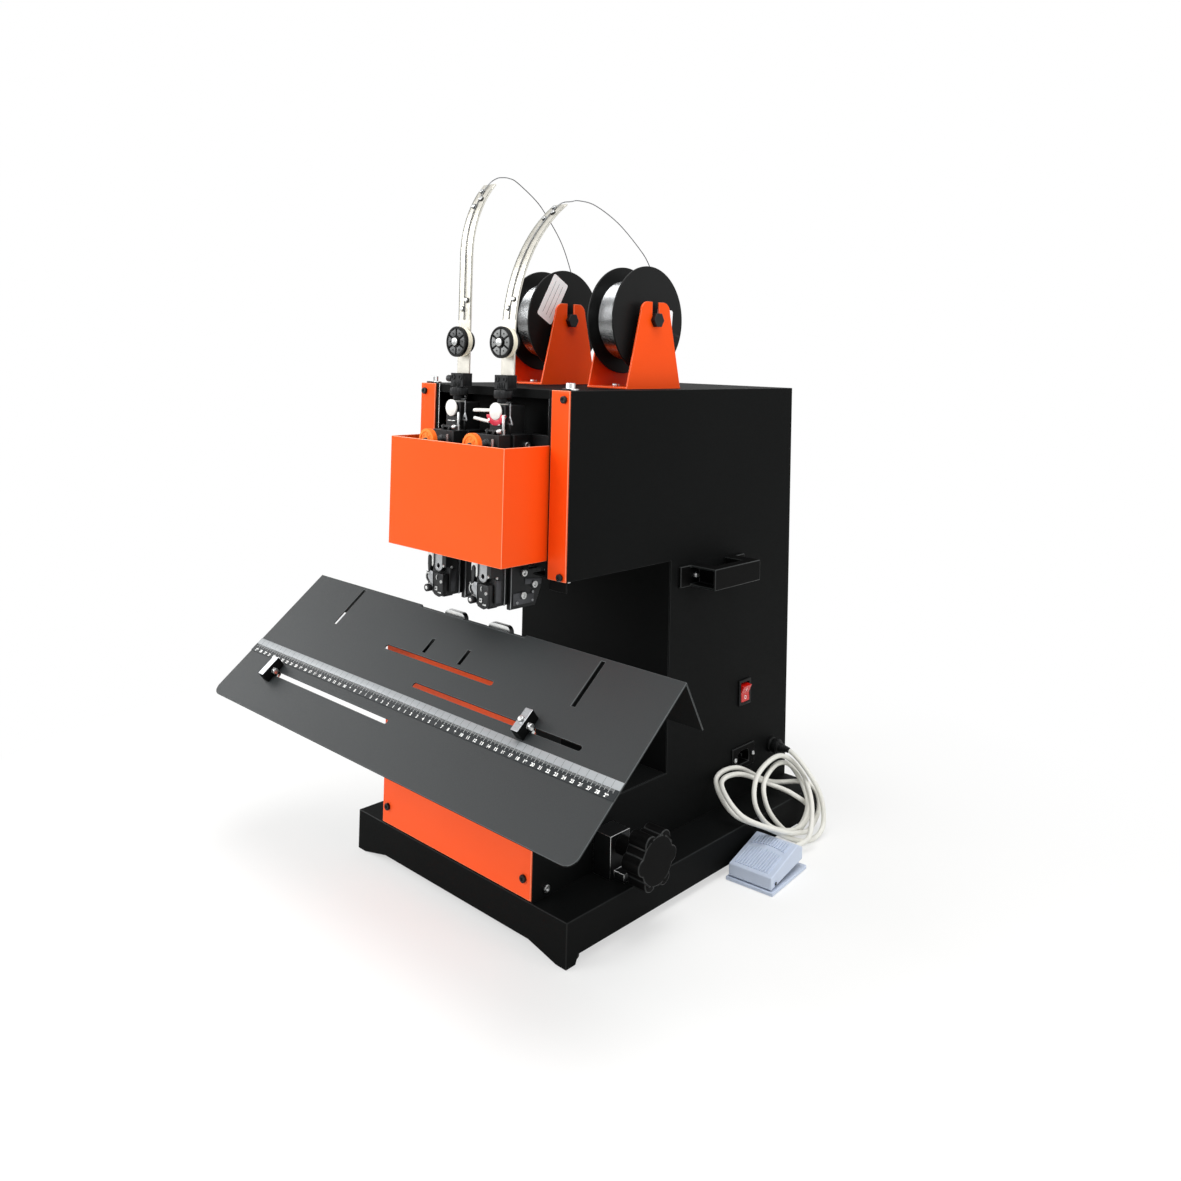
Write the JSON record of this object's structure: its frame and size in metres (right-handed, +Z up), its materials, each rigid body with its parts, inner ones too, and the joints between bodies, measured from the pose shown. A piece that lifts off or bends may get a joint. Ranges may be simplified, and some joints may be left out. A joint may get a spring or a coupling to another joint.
{
  "type": "electric booklet stapler",
  "caption": "Electric wire-stitching booklet stapler: saddle table with ruler and stops, twin stitching heads fed from wire spools, throat frame, foot pedal on a cord.",
  "frame": {"origin": "on the bench, under the middle of the machine's box", "axes": "+X to the machine's right as seen by the operator, +Y to the back, +Z up; the operator stands at -Y"},
  "size_m": [0.6, 0.6042, 0.8153],
  "materials": {
    "orange_paint": "satin",
    "black_paint": "satin",
    "grey_paint": "satin",
    "dark_iron": "satin",
    "steel": "brushed",
    "white_plastic": "matte",
    "black_plastic": "matte",
    "red_plastic": "gloss",
    "blue_plastic": "matte",
    "cord_jacket": "matte",
    "orange_plastic": "matte",
    "rubber": "matte",
    "aluminium": "satin"
  },
  "bodies": {
    "machine": {"base_plinth": "black_paint", "rubber_feet": "rubber", "left_side_panel": "black_paint", "right_side_panel": "black_paint", "top_cover": "black_paint", "rear_cover": "black_paint", "arm_floor": "black_paint", "throat_plate": "black_paint", "pedestal_sheet": "black_paint", "front_panel": "orange_paint", "inner_plate": "black_paint", "front_straps": "orange_paint", "guard_tray": "orange_paint", "head_rails": "steel", "left_head": "dark_iron", "right_head": "dark_iron", "head_side_plates": "black_paint", "head_caps": "white_plastic", "wire_clamps": "steel", "left_wire_guide": "steel", "right_wire_guide": "steel", "roller_axles": "steel", "left_spool_bracket": "orange_paint", "right_spool_bracket": "orange_paint", "spool_axles": "black_plastic", "feed_wires": "steel", "gear_motor": "grey_paint", "shaft_bearings": "dark_iron", "guide_rods": "steel", "clamp_block": "steel", "handles": "black_plastic", "switch_bezel": "black_plastic", "mains_inlet": "black_plastic", "pedal_socket": "black_plastic", "pedal_cord": "cord_jacket", "pedal_base": "blue_plastic", "case_screws": "steel"},
    "carriage": {"table": "grey_paint", "ruler_strip": "aluminium", "table_post": "dark_iron", "clinchers": "steel"},
    "left_stop_body": {"left_stop": "black_paint"},
    "right_stop_body": {"right_stop": "black_paint"},
    "clamp_knob_body": {"clamp_knob": "black_plastic"},
    "left_reel": {"left_spool": "black_plastic", "left_winding": "steel"},
    "right_reel": {"right_spool": "black_plastic", "right_winding": "steel"},
    "left_roller_body": {"left_roller": "white_plastic"},
    "right_roller_body": {"right_roller": "white_plastic"},
    "left_wheel": {"left_feed_wheel": "orange_plastic"},
    "right_wheel": {"right_feed_wheel": "orange_plastic"},
    "left_knob": {"left_head_knob": "steel"},
    "right_knob": {"right_head_knob": "steel"},
    "ram": {"crosshead": "dark_iron", "stitch_drivers": "steel"},
    "shaft": {"main_shaft": "steel", "drive_cam": "dark_iron"},
    "rocker": {"switch_rocker": "red_plastic"},
    "treadle": {"pedal_treadle": "blue_plastic"}
  },
  "joints": [
    {"name": "table_height", "type": "slide", "parent": "machine", "child": "carriage", "axis": [0, 0, 1], "range_m": [-0.008, 0]},
    {"name": "left_stop_slide", "type": "slide", "parent": "carriage", "child": "left_stop_body", "axis": [1, 0, 0], "range_m": [-0.008, 0.218]},
    {"name": "right_stop_slide", "type": "slide", "parent": "carriage", "child": "right_stop_body", "axis": [1, 0, 0], "range_m": [-0.172, 0.064]},
    {"name": "clamp_turn", "type": "hinge", "parent": "machine", "child": "clamp_knob_body", "pos_m": [0.125, -0.066, 0.08], "axis": [1, 0, 0], "range_deg": [0, 90]},
    {"name": "left_reel_turn", "type": "hinge", "parent": "machine", "child": "left_reel", "pos_m": [-0.07, 0.0345, 0.6465], "axis": [1, 0, 0], "continuous": true},
    {"name": "right_reel_turn", "type": "hinge", "parent": "machine", "child": "right_reel", "pos_m": [0.07, 0.0345, 0.6465], "axis": [1, 0, 0], "continuous": true},
    {"name": "left_roller_turn", "type": "hinge", "parent": "machine", "child": "left_roller_body", "pos_m": [-0.0375, -0.15, 0.615], "axis": [0, 1, 0], "continuous": true},
    {"name": "right_roller_turn", "type": "hinge", "parent": "machine", "child": "right_roller_body", "pos_m": [0.0375, -0.15, 0.615], "axis": [0, 1, 0], "continuous": true},
    {"name": "left_wheel_turn", "type": "hinge", "parent": "machine", "child": "left_wheel", "pos_m": [-0.0375, -0.19, 0.504], "axis": [0, 1, 0], "continuous": true},
    {"name": "right_wheel_turn", "type": "hinge", "parent": "machine", "child": "right_wheel", "pos_m": [0.0375, -0.19, 0.504], "axis": [0, 1, 0], "continuous": true},
    {"name": "left_knob_turn", "type": "hinge", "parent": "machine", "child": "left_knob", "pos_m": [-0.0375, -0.149, 0.555], "axis": [0, 0, 1], "continuous": true},
    {"name": "right_knob_turn", "type": "hinge", "parent": "machine", "child": "right_knob", "pos_m": [0.0375, -0.149, 0.555], "axis": [0, 0, 1], "continuous": true},
    {"name": "shaft_turn", "type": "hinge", "parent": "machine", "child": "shaft", "pos_m": [0, -0.045, 0.485], "axis": [-1, 0, 0], "range_deg": [0, 180]},
    {"name": "ram_slide", "type": "slide", "parent": "machine", "child": "ram", "axis": [0, 0, 1], "range_m": [-0.045, 0]},
    {"name": "rocker_tilt", "type": "hinge", "parent": "machine", "child": "rocker", "pos_m": [0.122, 0.2, 0.1775], "axis": [0, -1, 0], "range_deg": [0, 20]},
    {"name": "treadle_tilt", "type": "hinge", "parent": "machine", "child": "treadle", "pos_m": [0.21045, 0.10095, 0.01], "axis": [-0.9962, -0.0872, 0], "range_deg": [0, 5], "stiffness_Nm_per_rad": 8}
  ],
  "couplings": [
    {"joint": "ram_slide", "follows": "shaft_turn", "m_per_rad": -0.014324}
  ]
}
